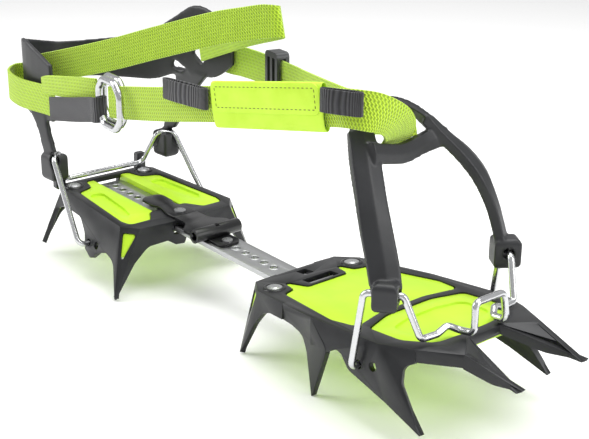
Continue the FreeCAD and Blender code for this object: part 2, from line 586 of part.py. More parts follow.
CRADLE_REAR_RIM = [(V(91, -27, 98), V(9, 0, 4)), (V(89.6, -22.5, 105), V(8, 0, 3.5)),
                   (V(88.8, -15, 110.4), V(7, 0, 3)), (V(88.8, -6, 111.8), V(6.4, 0, 2.2)),
                   (V(90.6, 3, 109.4), V(6.2, 0, 2)), (V(92.4, 11.5, 104.6), V(6.4, 0, 2.4)),
                   (V(94.2, 19, 98.4), V(7.4, 0, 3)), (V(97.5, 26.5, 90.5), V(8, 0, 4))]


def build_front_cradle():
    deep = size["cradle_thickness"]
    shape = ridged_bar(NEAR_CRADLE_LEG, deep, 1.6)
    pieces = [ridged_bar([(p, -a) for p, a in FAR_CRADLE_LEG], deep, 1.6), ridged_bar(CRADLE_FRONT_BAR, 4.6, 0.8),
              ribbon(softened(CRADLE_REAR_RIM, 3), 3.2)]
    for x, side, high, tall in ((130.4, -1, 34.2, 14.4), (128.6, 1, 33.4, 16)):
        pieces.append(cradle_foot(V(x, side * 43.6, high), -side * 36, 12, 14, tall))
    finish_cradle("front_cradle", shape.fuse(pieces), FRONT_BAIL, size["front_pitch"], size["front_lift"], 3.2)


# ---------------------------------------------------------------- buckles, loops and sleeve
def build_ring(label, middle, turn, place):
    """Welded ring with eight soft corners."""
    section = size["ring_section"]
    wide, tall, corner = 13.5, 13.2, 6.0
    outline = [(-wide + corner, -tall, 6), (wide - corner, -tall, 6), (wide, -tall + corner, 6),
               (wide, tall - corner, 6), (wide - corner, tall, 6), (-wide + corner, tall, 6),
               (-wide, tall - corner, 6), (-wide, -tall + corner, 6)]
    path = Part.Wire([segment.toShape() for segment in rounded(outline)])
    start = path.OrderedEdges[0].valueAt(path.OrderedEdges[0].FirstParameter)
    heading = path.OrderedEdges[0].tangentAt(path.OrderedEdges[0].FirstParameter)
    first = Part.Wire([Part.Circle(start, heading, section).toShape()])
    ring = doc.addObject("Part::Feature", label)
    ring.Shape = path.makePipeShell([first], True, False)
    keep(ring, label, place.multiply(FreeCAD.Placement(middle, turn)))


def build_loop(label, middle, along, across, length, tall, deep, wall):
    """Flat tube that the webbing runs through: along the webbing, across its width."""
    along = along.normalize()
    face = along.cross(across).normalize()
    across = face.cross(along).normalize()
    turn = FreeCAD.Rotation(along, across, face, "XYZ")
    outer = Part.makeBox(length, tall, deep, V(-length / 2, -tall / 2, -deep / 2))
    outer = outer.makeFillet(0.45 * deep, [e for e in outer.Edges
                                           if abs(e.tangentAt(e.FirstParameter).x) > 0.9])
    inner = Part.makeBox(length + 2, tall - 2 * wall, deep - 2 * wall,
                         V(-length / 2 - 1, -tall / 2 + wall, -deep / 2 + wall))
    loop = doc.addObject("Part::Feature", label)
    loop.Shape = outer.cut(inner)
    keep(loop, label, level_place.multiply(FreeCAD.Placement(middle, turn)))


def build_triglide():
    """Two slotted plates joined above and below the webbing that runs between them."""
    along = V(37.8, -8.4, 0).normalize()
    turn = FreeCAD.Rotation(along, UP, along.cross(UP), "XYZ")
    wide, tall, plate = 15.0, size["buckle_width"], size["buckle_plate"]
    gap = 3.4
    deep = gap + 2 * plate
    frame = Part.makeBox(wide, tall, deep, V(-wide / 2, -tall / 2, -deep / 2))
    frame = frame.makeFillet(3.0, [e for e in frame.Edges if abs(e.tangentAt(e.FirstParameter).z) > 0.9])
    passage = tall - 7.0
    frame = frame.cut(Part.makeBox(wide + 2, passage, gap, V(-wide / 2 - 1, -passage / 2, -gap / 2)))
    for x in (-4.6, 1.4):
        frame = frame.cut(Part.makeBox(3.2, passage, deep + 2, V(x, -passage / 2, -deep / 2 - 1)))
    buckle = doc.addObject("Part::Feature", "triglide_buckle")
    buckle.Shape = frame
    keep(buckle, "triglide_buckle", level_place.multiply(FreeCAD.Placement(V(-42.9, 38.8, 94.9), turn)))


def build_heel_stop_tabs():
    """Two upright plastic stops that stand on the rear corners of the heel frame."""
    stops = []
    for side in (-1, 1):
        stop = Part.makeBox(4.0, 7.0, 13.0, V(-181.8, side * 31.5 - 3.5, -4.0))
        stops.append(stop.makeFillet(1.6, [e for e in stop.Edges if abs(e.tangentAt(e.FirstParameter).x) > 0.9]))
    group = doc.addObject("Part::Feature", "heel_stop_tabs")
    group.Shape = Part.makeCompound(stops)
    keep(group, "heel_stop_tabs", heel_place)


# ---------------------------------------------------------------- build everything
build_heel_frame()
build_front_frame()
build_heel_antiball_plate()
build_front_antiball_plate()
build_rivets("heel_plate_rivets", [(-168.9, -27.1), (-168.9, 27.1)], heel_place)
build_rivets("front_plate_rivets", [(34.0, -28.4), (34.0, 28.4)], front_place)
build_link_bar()
build_lever_tongue()
build_length_lever()
build_pin("lever_rivet", -90.0, 2.4, 1.72, 1.8, 3.6, 0.8, heel_place)
build_pin("lever_lock_pin", size["lock_hole"], 2.0, -3.3, -1.88, 3.2, 0.9, heel_place)
build_wire("front_bail_wire", FRONT_BAIL, 3.2, front_place)
build_wire("heel_bail_wire", HEEL_BAIL, 6.0, heel_place)
build_front_cradle()
build_heel_cradle()
build_heel_stop_tabs()
webbing = size["webbing_thickness"]
build_ribbon("near_strap", NEAR_STRAP, webbing)
build_ribbon("long_strap_tail", LONG_TAIL, webbing)
build_ribbon("tail_return_strap", TAIL_RETURN, webbing)
build_ribbon("far_strap", FAR_STRAP, webbing)
build_ribbon("near_wing_strap", NEAR_WRAP, webbing)
build_ribbon("ring_tab", RING_TAB, webbing)
build_ribbon("ring_strap", RING_STRAP, webbing)
ring_turn = FreeCAD.Rotation(V(0, 0, 1), -8).multiply(FreeCAD.Rotation(V(1, 0, 0), 90))
build_ring("ring_outer", V(-75, -56.6, 86), ring_turn, level_place)
build_ring("ring_inner", V(-84, -48.0, 85), ring_turn, level_place)
build_loop("strap_sleeve", V(47, -43.66, 106.84), V(73.5, 12.8, 10.6), V(0, 0, 1), 71, 24, 5.2, 0.9)
build_loop("keeper_loop_front", V(94, -39.6, 117.3), V(0, 0, 1), V(17, 6.5, 2), 11, 19, 3.6, 1.0)
build_loop("keeper_loop_rear", V(-6.8, -54.2, 104.6), V(0, 0, 1), V(37, 1.5, 7), 11, 36, 3.6, 1.0)
build_triglide()

# ---------------------------------------------------------------- check and export
doc.recompute()
for obj in doc.Objects:
    if "Invalid" in obj.State or "Error" in obj.State:
        raise RuntimeError("%s failed to rebuild" % obj.Label)
for obj in parts:
    if obj.Shape.isNull() or not obj.Shape.isValid() or not obj.Shape.Solids:
        raise RuntimeError("%s has no valid solid" % obj.Label)
box = FreeCAD.BoundBox()
for obj in parts:
    box.add(obj.Shape.BoundBox)
    obj.Shape.exportStep("parts/%s.step" % obj.Label)
    print("%-22s solids %d volume %.0f" % (obj.Label, len(obj.Shape.Solids), obj.Shape.Volume))
print("box x %.2f..%.2f y %.2f..%.2f z %.2f..%.2f" % (box.XMin, box.XMax, box.YMin, box.YMax, box.ZMin, box.ZMax))
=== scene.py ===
import math

import bmesh
import bpy
from mathutils import Matrix, Vector


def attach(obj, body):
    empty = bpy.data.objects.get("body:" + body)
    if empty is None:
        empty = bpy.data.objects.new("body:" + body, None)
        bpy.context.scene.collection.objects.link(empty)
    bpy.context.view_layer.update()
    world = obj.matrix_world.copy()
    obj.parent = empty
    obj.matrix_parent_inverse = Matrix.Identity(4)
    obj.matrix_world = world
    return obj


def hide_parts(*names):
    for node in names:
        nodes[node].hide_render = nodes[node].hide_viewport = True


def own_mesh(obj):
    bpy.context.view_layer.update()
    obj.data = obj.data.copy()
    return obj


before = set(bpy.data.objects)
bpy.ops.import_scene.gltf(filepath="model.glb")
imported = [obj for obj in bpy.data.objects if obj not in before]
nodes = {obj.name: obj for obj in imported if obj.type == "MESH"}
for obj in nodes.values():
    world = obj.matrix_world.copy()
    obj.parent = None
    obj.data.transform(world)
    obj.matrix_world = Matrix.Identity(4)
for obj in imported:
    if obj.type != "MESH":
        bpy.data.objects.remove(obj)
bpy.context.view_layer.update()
MM = 0.001
# the straps are laid out in level axes whose origin is the heel frame's own
ORIGIN = Vector((11.48, 3.905, 38.1))
HEEL_PITCH = math.radians(3.0)
TOE_PITCH = math.radians(-4.09)


def level(x, y, z):
    return (Vector((x, y, z)) + ORIGIN) * MM


def on_heel(x, y, z):
    """Millimetres in the heel frame's own axes, to metres in the model's."""
    return (Matrix.Rotation(HEEL_PITCH, 3, "Y") @ Vector((x, y, z)) + ORIGIN) * MM


def on_toe(x, y, z):
    return (Matrix.Rotation(TOE_PITCH, 3, "Y") @ Vector((x, y, z)) + ORIGIN + Vector((0, 0, 0.11))) * MM


# ------------------------------------------------------------------ colours and nodes
def colour(code):
    """sRGB hex to linear RGBA."""
    parts = [int(code[i:i + 2], 16) / 255 for i in (1, 3, 5)]
    return tuple(c / 12.92 if c <= 0.04045 else ((c + 0.055) / 1.055) ** 2.4 for c in parts) + (1.0,)


def add(tree, kind, settings=None, inputs=None):
    """One node, with its settings, and its inputs given as values or as other nodes' outputs."""
    node = tree.nodes.new(kind)
    for key, value in (settings or {}).items():
        setattr(node, key, value)
    for key, value in (inputs or {}).items():
        if isinstance(value, bpy.types.NodeSocket):
            tree.links.new(value, node.inputs[key])
        else:
            node.inputs[key].default_value = value
    return node


def noise(tree, coord, scale, detail):
    """Noise over the object's own coordinates."""
    return add(tree, "ShaderNodeTexNoise", None,
               {"Vector": coord.outputs["Object"], "Scale": scale, "Detail": detail})


def new_finish(name, base, roughness, metallic=0.0, **sockets):
    material = bpy.data.materials.new(name)
    material.use_nodes = True
    shader = material.node_tree.nodes["Principled BSDF"]
    shader.inputs["Base Color"].default_value = colour(base)
    shader.inputs["Roughness"].default_value = roughness
    shader.inputs["Metallic"].default_value = metallic
    for key, value in sockets.items():
        shader.inputs[key.replace("_", " ")].default_value = value
    return material, material.node_tree, shader


def blend_colours(tree, factor, low, high):
    mix = add(tree, "ShaderNodeMix", {"data_type": "RGBA"}, {0: factor, 6: low, 7: high})
    return mix.outputs[2]


def spread(tree, value, low, high, to_low=0.0, to_high=1.0):
    return add(tree, "ShaderNodeMapRange", None,
               {0: value, 1: low, 2: high, 3: to_low, 4: to_high}).outputs[0]


def bump(tree, shader, height, distance, strength=1.0):
    node = add(tree, "ShaderNodeBump", None, {"Height": height, "Distance": distance, "Strength": strength})
    tree.links.new(node.outputs["Normal"], shader.inputs["Normal"])


# ------------------------------------------------------------------ materials
def dip_painted_steel():
    """Chromoly sheet under a thin satin black dip coat: slightly mottled gloss, soft orange peel."""
    material, tree, shader = new_finish("dip_painted_steel", "#1c1d1f", 0.34, 0.25)
    coord = add(tree, "ShaderNodeTexCoord")
    cloud = noise(tree, coord, 60, 4)
    peel = noise(tree, coord, 1400, 2)
    tree.links.new(spread(tree, cloud.outputs["Fac"], 0.3, 0.7, 0.30, 0.44), shader.inputs["Roughness"])
    tone = blend_colours(tree, spread(tree, cloud.outputs["Fac"], 0.35, 0.65), colour("#18191b"),
                         colour("#242527"))
    tree.links.new(tone, shader.inputs["Base Color"])
    bump(tree, shader, peel.outputs["Fac"], 0.00004, 0.5)
    return material


def painted_highlight_edge():
    """Painted highlight: the coat's folded and sheared edges are coloured a mottled light grey to stand in
    for the light they catch.
    """
    material, tree, shader = new_finish("painted_highlight_edge", "#9a9b9c", 0.30, 0.55)
    coord = add(tree, "ShaderNodeTexCoord")
    highlight_mottle = noise(tree, coord, 160, 5)
    tone = blend_colours(tree, spread(tree, highlight_mottle.outputs["Fac"], 0.38, 0.62), colour("#626365"),
                         colour("#a2a3a4"))
    tree.links.new(tone, shader.inputs["Base Color"])
    return material


def lime_snow_plate():
    """Flexible polyurethane, injection moulded: even lime colour, soft sheen, a faint flow texture."""
    material, tree, shader = new_finish("lime_snow_plate", "#c2ec2a", 0.40, IOR=1.5)
    coord = add(tree, "ShaderNodeTexCoord")
    flow = noise(tree, coord, 35, 3)
    grain = noise(tree, coord, 1800, 1)
    tone = blend_colours(tree, spread(tree, flow.outputs["Fac"], 0.3, 0.7), colour("#b9e620"),
                         colour("#c8f032"))
    tree.links.new(tone, shader.inputs["Base Color"])
    bump(tree, shader, grain.outputs["Fac"], 0.00003, 0.4)
    return material


def drawn_stainless(name, base, roughness):
    """Stainless rod, drawn and tumbled: bright, with hair lines and small changes of gloss."""
    material, tree, shader = new_finish(name, base, roughness, 1.0)
    coord = add(tree, "ShaderNodeTexCoord")
    lines = noise(tree, coord, 420, 5)
    tree.links.new(spread(tree, lines.outputs["Fac"], 0.3, 0.7, roughness - 0.06, roughness + 0.10),
                   shader.inputs["Roughness"])
    bump(tree, shader, lines.outputs["Fac"], 0.00003, 0.4)
    return material


def moulded_nylon(name, dark, light, roughness):
    """Glass-filled nylon: charcoal, dry sheen, spark-eroded grain of about a third of a millimetre."""
    material, tree, shader = new_finish(name, dark, roughness, IOR=1.5)
    coord = add(tree, "ShaderNodeTexCoord")
    grain = noise(tree, coord, 2200, 2)
    cloud = noise(tree, coord, 45, 3)
    tone = blend_colours(tree, spread(tree, cloud.outputs["Fac"], 0.3, 0.7), colour(dark), colour(light))
    tree.links.new(tone, shader.inputs["Base Color"])
    bump(tree, shader, grain.outputs["Fac"], 0.00006, 0.6)
    return material


def woven(name, dark, light, pitch_across, pitch_along, slant, depth, roughness=0.75):
    """Polyester webbing: slanted rows of yarn, drawn about one and a half times as coarse as real so that
    they show. The gaps get painted shade and the crests a lighter colour that follows the yarn's height. It
    has a slight sheen and a length-wise change of tone."""
    material, tree, shader = new_finish(name, light, roughness, Sheen_Weight=0.25, Sheen_Roughness=0.5)
    uv = add(tree, "ShaderNodeUVMap", {"uv_map": "cloth"})
    split = add(tree, "ShaderNodeSeparateXYZ", None, {0: uv.outputs["UV"]})
    across, along = split.outputs[0], split.outputs[1]
    leaning = add(tree, "ShaderNodeMath", {"operation": "MULTIPLY_ADD"},
                  {0: across, 1: slant, 2: along}).outputs[0]
    turn = 2 * math.pi
    rows = add(tree, "ShaderNodeMath", {"operation": "MULTIPLY"},
               {0: leaning, 1: turn / pitch_along}).outputs[0]
    cols = add(tree, "ShaderNodeMath", {"operation": "MULTIPLY"},
               {0: across, 1: turn / pitch_across}).outputs[0]
    shift = add(tree, "ShaderNodeMath", {"operation": "SINE"}, {0: cols}).outputs[0]
    bent = add(tree, "ShaderNodeMath", {"operation": "MULTIPLY_ADD"}, {0: shift, 1: 0.9, 2: rows}).outputs[0]
    yarn = add(tree, "ShaderNodeMath", {"operation": "SINE"}, {0: bent}).outputs[0]
    rib = add(tree, "ShaderNodeMath", {"operation": "COSINE"}, {0: cols}).outputs[0]
    height = add(tree, "ShaderNodeMath", {"operation": "MULTIPLY_ADD"}, {0: rib, 1: 0.45, 2: yarn}).outputs[0]
    coord = add(tree, "ShaderNodeTexCoord")
    cloud = noise(tree, coord, 70, 4)
    # colour follows the yarn's height, as painted shade in the gaps and lighter crests, mixed with a random
    # cloud of tone
    weave_shade_and_tone = add(tree, "ShaderNodeMath", {"operation": "MULTIPLY_ADD"},
               {0: cloud.outputs["Fac"], 1: 0.9, 2: height})
    tone = blend_colours(tree, spread(tree, weave_shade_and_tone.outputs[0], -0.7, 1.1), colour(dark), colour(light))
    tree.links.new(tone, shader.inputs["Base Color"])
    bump(tree, shader, height, depth, 0.9)
    return material


def coated_cloth():
    """Bonded ripstop of the sleeve: smooth, a little glossy, a very fine grid."""
    material, tree, shader = new_finish("coated_sleeve_cloth", "#c8f03c", 0.55)
    coord = add(tree, "ShaderNodeTexCoord")
    cloud = noise(tree, coord, 90, 5)
    fine = noise(tree, coord, 1500, 2)
    tone = blend_colours(tree, spread(tree, cloud.outputs["Fac"], 0.3, 0.7), colour("#c0e82e"),
                         colour("#ccf342"))
    tree.links.new(tone, shader.inputs["Base Color"])
    bump(tree, shader, fine.outputs["Fac"], 0.00008, 0.5)
    return material


STEEL = dip_painted_steel()
EDGE = painted_highlight_edge()
LIME = lime_snow_plate()
WIRE = drawn_stainless("drawn_stainless_wire", "#c9cacc", 0.20)
RING = drawn_stainless("welded_ring_steel", "#bfc0c2", 0.18)
BAR = drawn_stainless("zinc_plated_bar", "#b9babb", 0.34)
RIVET = drawn_stainless("bright_rivet_steel", "#c4c5c6", 0.30)
LEVER = moulded_nylon("blacked_spring_steel", "#0b0b0d", "#121315", 0.28)
NYLON = moulded_nylon("charcoal_nylon", "#1a1b1d", "#232427", 0.42)
ACETAL = moulded_nylon("grey_acetal", "#26272a", "#313236", 0.36)
WEB = woven("lime_polyester_webbing", "#86a518", "#c2e62c", 0.0020, 0.0017, 0.62, 0.00022)
BLACK_WEB = woven("black_ribbed_webbing", "#0d0d0f", "#36363a", 0.0200, 0.0013, 0.0, 0.00022)
CLOTH = coated_cloth()
THREAD = woven("stitching_thread", "#3a4a08", "#5d7210", 0.0010, 0.0010, 0.4, 0.00010)


# ------------------------------------------------------------------ finishing pieces
def deselect():
    bpy.ops.object.select_all(action="DESELECT")


def use(obj):
    deselect()
    obj.select_set(True)
    bpy.context.view_layer.objects.active = obj


def apply_modifiers(obj):
    use(obj)
    for modifier in list(obj.modifiers):
        bpy.ops.object.modifier_apply(modifier=modifier.name)


def settle(obj, body, material, replaced=(), smooth=35):
    """Finish a piece: place in its mesh, smooth shading, material, body and the CAD nodes it stands for."""
    use(obj)
    bpy.ops.object.transform_apply(location=True, rotation=True, scale=True)
    bpy.ops.object.shade_smooth_by_angle(angle=math.radians(smooth))
    if not obj.data.materials:
        obj.data.materials.append(material)
    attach(obj, body)
    if replaced:
        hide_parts(*replaced)
    return obj


def shell_of(node, name):
    """A merged copy of a CAD node, its triangles joined to flat faces."""
    obj = nodes[node].copy()
    obj.data = nodes[node].data.copy()
    obj.name = name
    for key in list(obj.keys()):
        del obj[key]
    obj.parent = None
    obj.data.materials.clear()
    bpy.context.scene.collection.objects.link(obj)
    mesh = bmesh.new()
    mesh.from_mesh(obj.data)
    bmesh.ops.remove_doubles(mesh, verts=mesh.verts, dist=2e-6)
    bmesh.ops.dissolve_limit(mesh, angle_limit=math.radians(1.0), verts=mesh.verts, edges=mesh.edges)
    mesh.to_mesh(obj.data)
    mesh.free()
    return obj


def bevelled(node, name, width, material, edge=None, angle=35, segments=2):
    obj = shell_of(node, name)
    obj.data.materials.append(material)
    if edge:
        obj.data.materials.append(edge)
    bevel = obj.modifiers.new("edge_round", "BEVEL")
    bevel.width = width
    bevel.segments = segments
    bevel.limit_method = "ANGLE"
    bevel.angle_limit = math.radians(angle)
    bevel.use_clamp_overlap = True
    # the bevel's faces take the second material, the painted highlight, when one is given
    bevel.material = 1 if edge else -1
    apply_modifiers(obj)
    return obj


def soft_moulding(node, name, voxel, rounds):
    """A moulding with every edge and corner run together, as a mould leaves it."""
    obj = shell_of(node, name)
    obj.data.materials.append(NYLON)
    remesh = obj.modifiers.new("even_skin", "REMESH")
    remesh.mode = "VOXEL"
    remesh.voxel_size = voxel
    rounding = obj.modifiers.new("soft_edges", "SMOOTH")
    rounding.factor = 0.5
    rounding.iterations = rounds
    apply_modifiers(obj)
    return obj


def repaint(node, material):
    nodes[node].data.materials.clear()
    nodes[node].data.materials.append(material)


# ------------------------------------------------------------------ webbing
def smooth_stations(stations, steps):
    """Even curve through (middle, width vector) stations, millimetres in level axes."""
    middles = [Vector(s[0]) for s in stations]
    widths = [Vector(s[1]).normalized() * s[2] for s in stations]
    found = []
    last = len(stations) - 1
    for i in range(last):
        for k in range(steps):
            t = k / steps
            pair = []
            for row in (middles, widths):
                a, b, c, d = (row[max(i - 1, 0)], row[i], row[i + 1], row[min(i + 2, last)])
                pair.append(0.5 * ((2 * b) + (c - a) * t + (2 * a - 5 * b + 4 * c - d) * t * t
                                   + (3 * b - a - 3 * c + d) * t ** 3))
            found.append(pair)
    found.append([middles[-1], widths[-1]])
    return found


def webbing(name, stations, thickness, steps=10, crown=0.0):
    """A flat strap as one closed skin with rounded selvedges, and a cloth map in metres."""
    rows = smooth_stations(stations, steps)
    half = thickness / 2
    flat = [-1, -0.66, -0.33, 0, 0.33, 0.66, 1]
    outline = [(t, half) for t in flat] + [(1.0, 0.0)] + [(t, -half) for t in reversed(flat)] + [(-1.0, 0.0)]
    mesh = bmesh.new()
    layer = mesh.loops.layers.uv.new("cloth")
    rings, places = [], []
    run = 0.0
    for i, (middle, width) in enumerate(rows):
        ahead = rows[min(i + 1, len(rows) - 1)][0] - rows[max(i - 1, 0)][0]
        face = ahead.cross(width).normalized()
        if i:
            run += (middle - rows[i - 1][0]).length
        ring = []
        for t, h in outline:
            inset = 0.35 if abs(h) > 0 and abs(t) == 1 else 0.0
            reach = t * (width.length / 2 - inset)
            point = middle + width.normalized() * reach + face * (h + crown * (1 - t * t))
            ring.append(mesh.verts.new(level(*point)))
        rings.append(ring)
        places.append(run)
    count = len(outline)
    for i in range(len(rings) - 1):
        for k in range(count):
            j = (k + 1) % count
            f = mesh.faces.new((rings[i][k], rings[i][j], rings[i + 1][j], rings[i + 1][k]))
            f.smooth = True
            wide = rows[i][1].length / 2
            across = [outline[k][0] * wide, outline[j][0] * wide, outline[j][0] * wide, outline[k][0] * wide]
            run_at = [places[i], places[i], places[i + 1], places[i + 1]]
            for loop, u, v in zip(f.loops, across, run_at):
                loop[layer].uv = (u * MM, v * MM)
    for ring, at in ((rings[0], places[0]), (rings[-1], places[-1])):
        f = mesh.faces.new(ring)
        for loop, (t, h) in zip(f.loops, outline):
            loop[layer].uv = (t * 9.5 * MM, (at + h) * MM)
    bmesh.ops.recalc_face_normals(mesh, faces=mesh.faces)
    data = bpy.data.meshes.new(name)
    mesh.to_mesh(data)
    mesh.free()
    obj = bpy.data.objects.new(name, data)
    bpy.context.scene.collection.objects.link(obj)
    obj["strap_length"] = places[-1]
    return obj


def finish_strap(obj, body, material, replaced):
    del obj["strap_length"]
    settle(obj, body, material, replaced, smooth=60)
    return obj


UP = (0, 0, 1)
TAIL_LEAN = (-0.252, -0.077, 0.9645)
RETURN_LEAN = (-0.308, 0.067, 0.949)

near = webbing("near_ankle_strap", [
    ((-80, -53.4, 86.0), UP, 18), ((-72, -53.3, 87.0), UP, 19), ((-64.6, -52.6, 88.1), UP, 19),
    ((-29, -51.6, 94.1), UP, 19),
    ((10, -50.1, 101.5), UP, 19), ((46, -44.0, 106.7), UP, 19), ((83.5, -37.3, 112.1), UP, 19),
    ((95.5, -35.8, 113.6), (1, 1, 8), 19), ((104.4, -28.5, 112.3), (0, 6, 9), 19.5),
    ((106, -17, 107), (0, 9, 5), 21), ((101.6, -8, 99.6), (0, 1, 0.25), 22),
    ((95.4, -4, 92.5), (0, 1, 0.1), 21),
    ((92.6, -2, 86), (0, 1, 0), 20)], 1.5, 10)
finish_strap(near, "front_cradle_group", WEB, ["near_strap"])
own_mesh(near)

far = webbing("far_ankle_strap", [
    ((-112, 47.0, 95.2), UP, 19), ((-99, 47.4, 94), UP, 19), ((-84, 46.4, 94.6), UP, 19),
    ((-61.8, 43, 94.9), UP, 19), ((-24, 34.6, 94.9), UP, 19), ((-8.5, 30, 94.9), UP, 19),
    ((35.8, 15, 96.7), UP, 19), ((70, 5, 98.0), (0, 3, 8), 18), ((90, 3, 98.0), (0, 8, 3), 18),
    ((95, 2, 92.5), (0, 1, 0), 18)], 1.5, 10)
finish_strap(far, "front_cradle_group", WEB, ["far_strap"])
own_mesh(far)

tail = webbing("strap_loose_end", [
    ((-197, -37.2, 82.2), TAIL_LEAN, 19), ((-186.2, -33, 84.4), TAIL_LEAN, 19),
    ((-136.7, -17.9, 98.4), TAIL_LEAN, 19), ((-102.3, -7.4, 109.8), TAIL_LEAN, 19),
    ((-61, 5.3, 122.9), TAIL_LEAN, 19), ((-39.2, 11.9, 128.2), TAIL_LEAN, 19),
    ((-27, 15.4, 130.9), TAIL_LEAN, 19),
    ((-21.2, 17.4, 131.6), TAIL_LEAN, 18.6), ((-18.4, 20.0, 131.4), (-0.28, 0, 0.957), 18.2),
    ((-21.0, 23.0, 130.4), RETURN_LEAN, 18.6), ((-28, 24.9, 128.6), RETURN_LEAN, 19),
    ((-60, 29.8, 119.4), RETURN_LEAN, 19), ((-90, 35.6, 109.4), RETURN_LEAN, 19),
    ((-119.5, 40.2, 99.4), RETURN_LEAN, 19)], 1.5, 12)
finish_strap(tail, "heel_cradle_group", WEB, ["long_strap_tail", "tail_return_strap"])

wrap = webbing("near_wing_webbing", [
    ((-150, -48.4, 71), UP, 19), ((-160, -48.2, 71), UP, 19), ((-190, -48.6, 70), UP, 19),
    ((-208, -46.8, 71.5), UP, 19),
    ((-215, -42, 72.6), UP, 19), ((-217.2, -37, 73.4), UP, 19), ((-214, -33.0, 74), UP, 19)], 1.6, 10)
finish_strap(wrap, "heel_cradle_group", WEB, ["near_wing_strap"])

lime_tab = webbing("lime_ring_tab", [
    ((-160, -50.2, 81), UP, 10), ((-150, -50.6, 82.5), UP, 12), ((-120, -50.6, 86), UP, 14),
    ((-104, -50.3, 87.6), UP, 15),
    ((-99, -49.6, 88), UP, 15)], 1.5, 8)
finish_strap(lime_tab, "heel_cradle_group", WEB, ["ring_strap"])

black_tab = webbing("black_ring_tab", [
    ((-150, -51.4, 68), UP, 15), ((-118, -53.6, 74), UP, 15), ((-97, -56.0, 78.6), UP, 15),
    ((-91, -58.0, 79.8), UP, 15),
    ((-87.4, -58.2, 80.4), UP, 15), ((-85, -55.6, 80.8), UP, 15), ((-86.6, -51.8, 80.7), UP, 15),
    ((-92, -51.6, 80), UP, 15)], 1.3, 8)
finish_strap(black_tab, "heel_cradle_group", BLACK_WEB, ["ring_tab"])



# ------------------------------------------------------------------ sleeve and keepers
def axes_of(middle, along, across):
    """Turn and place of a piece laid along a strap: along it, across it, and out of its face."""
    along = Vector(along).normalized()
    face = along.cross(Vector(across)).normalized()
    across = face.cross(along)
    turn = Matrix((along, across, face)).transposed().to_4x4()
    return Matrix.Translation(level(*middle)) @ turn


def cloth_loop(name, place, length, tall, deep, wall, ends=0.0, wrinkle=0.0):
    """Band of cloth sewn to a flat loop round the strap, with a cloth map in metres."""
    around, rows = 48, 25
    mesh = bmesh.new()
    layer = mesh.loops.layers.uv.new("cloth")
    rings = []
    for i in range(rows):
        s = i / (rows - 1)
        at = (s - 0.5) * length
        flare = 1 + ends * (2 * s - 1) ** 4
        ring = []
        for k in range(around):
            a = 2 * math.pi * k / around
            c, d = math.cos(a), math.sin(a)
            t = math.copysign(abs(c) ** 0.62, c) * (tall / 2 - wall / 2)
            h = math.copysign(abs(d) ** 0.75, d) * (deep / 2 - wall / 2) * flare
            h += wrinkle * math.sin(5 * a + 9 * s) * math.sin(7 * s + 1)
            ring.append(mesh.verts.new(place @ Vector((at * MM, t * MM, h * MM))))
        rings.append(ring)
    girth = 2 * (tall + 0.6 * deep)
    for i in range(rows - 1):
        for k in range(around):
            j = (k + 1) % around
            f = mesh.faces.new((rings[i][k], rings[i][j], rings[i + 1][j], rings[i + 1][k]))
            low, high = length * i / (rows - 1), length * (i + 1) / (rows - 1)
            near_v, far_v = girth * k / around, girth * (k + 1) / around
            for loop, u, v in zip(f.loops, (low, low, high, high), (near_v, far_v, far_v, near_v)):
                loop[layer].uv = (u * MM, v * MM)
    bmesh.ops.recalc_face_normals(mesh, faces=mesh.faces)
    data = bpy.data.meshes.new(name)
    mesh.to_mesh(data)
    mesh.free()
    obj = bpy.data.objects.new(name, data)
    bpy.context.scene.collection.objects.link(obj)
    skin = obj.modifiers.new("cloth_thickness", "SOLIDIFY")
    skin.thickness = wall * MM
    skin.offset = 0
    soften = obj.modifiers.new("soft_cloth", "SUBSURF")
    soften.levels = soften.render_levels = 1
    apply_modifiers(obj)
    return obj, girth


SLEEVE_AT = axes_of((47, -43.66, 106.84), (73.5, 12.8, 10.6), UP)
sleeve, girth = cloth_loop("sleeve_fold_band", SLEEVE_AT, 71, 24, 5.4, 0.8, 0.12, 0.10)
settle(sleeve, "sleeve", CLOTH, ["strap_sleeve"], smooth=70)


def edit(obj, mode="EDGE"):
    use(obj)
    bpy.ops.object.mode_set(mode="EDIT")
    bpy.ops.mesh.select_mode(type=mode)
    bpy.ops.mesh.select_all(action="SELECT")


def flat_patch(name, place, long, tall, corner, low, thick, shift):
    """Cut cloth with round corners, laid on the face of the sleeve."""
    deselect()
    bpy.ops.mesh.primitive_plane_add(size=1, location=(0, 0, 0))
    obj = bpy.context.object
    obj.name = name
    obj.scale = (long * MM, tall * MM, 1)
    bpy.ops.object.transform_apply(scale=True)
    edit(obj, "VERT")
    bpy.ops.mesh.bevel(offset=corner * MM, offset_type="OFFSET", segments=6, affect="VERTICES")
    bpy.ops.mesh.select_all(action="SELECT")
    bpy.ops.mesh.extrude_region_move(TRANSFORM_OT_translate={"value": (0, 0, thick * MM)})
    bpy.ops.mesh.select_all(action="SELECT")
    bpy.ops.mesh.normals_make_consistent(inside=False)
    bpy.ops.object.mode_set(mode="OBJECT")
    rim = obj.modifiers.new("turned_edge", "BEVEL")
    rim.width = 0.32 * thick * MM
    rim.segments = 3
    rim.limit_method = "ANGLE"
    apply_modifiers(obj)
    obj.matrix_world = place @ Matrix.Translation(Vector((shift[0], shift[1], low)) * MM)
    return obj


FLAP_TALL, FLAP_LONG, FLAP_SHIFT, FLAP_LOW = 15.6, 69.0, 4.3, 2.35
flap = flat_patch("sleeve_flap", SLEEVE_AT, FLAP_LONG, FLAP_TALL, 4.5, FLAP_LOW, 0.95, (0, FLAP_SHIFT))
settle(flap, "sleeve", CLOTH, [], smooth=50)


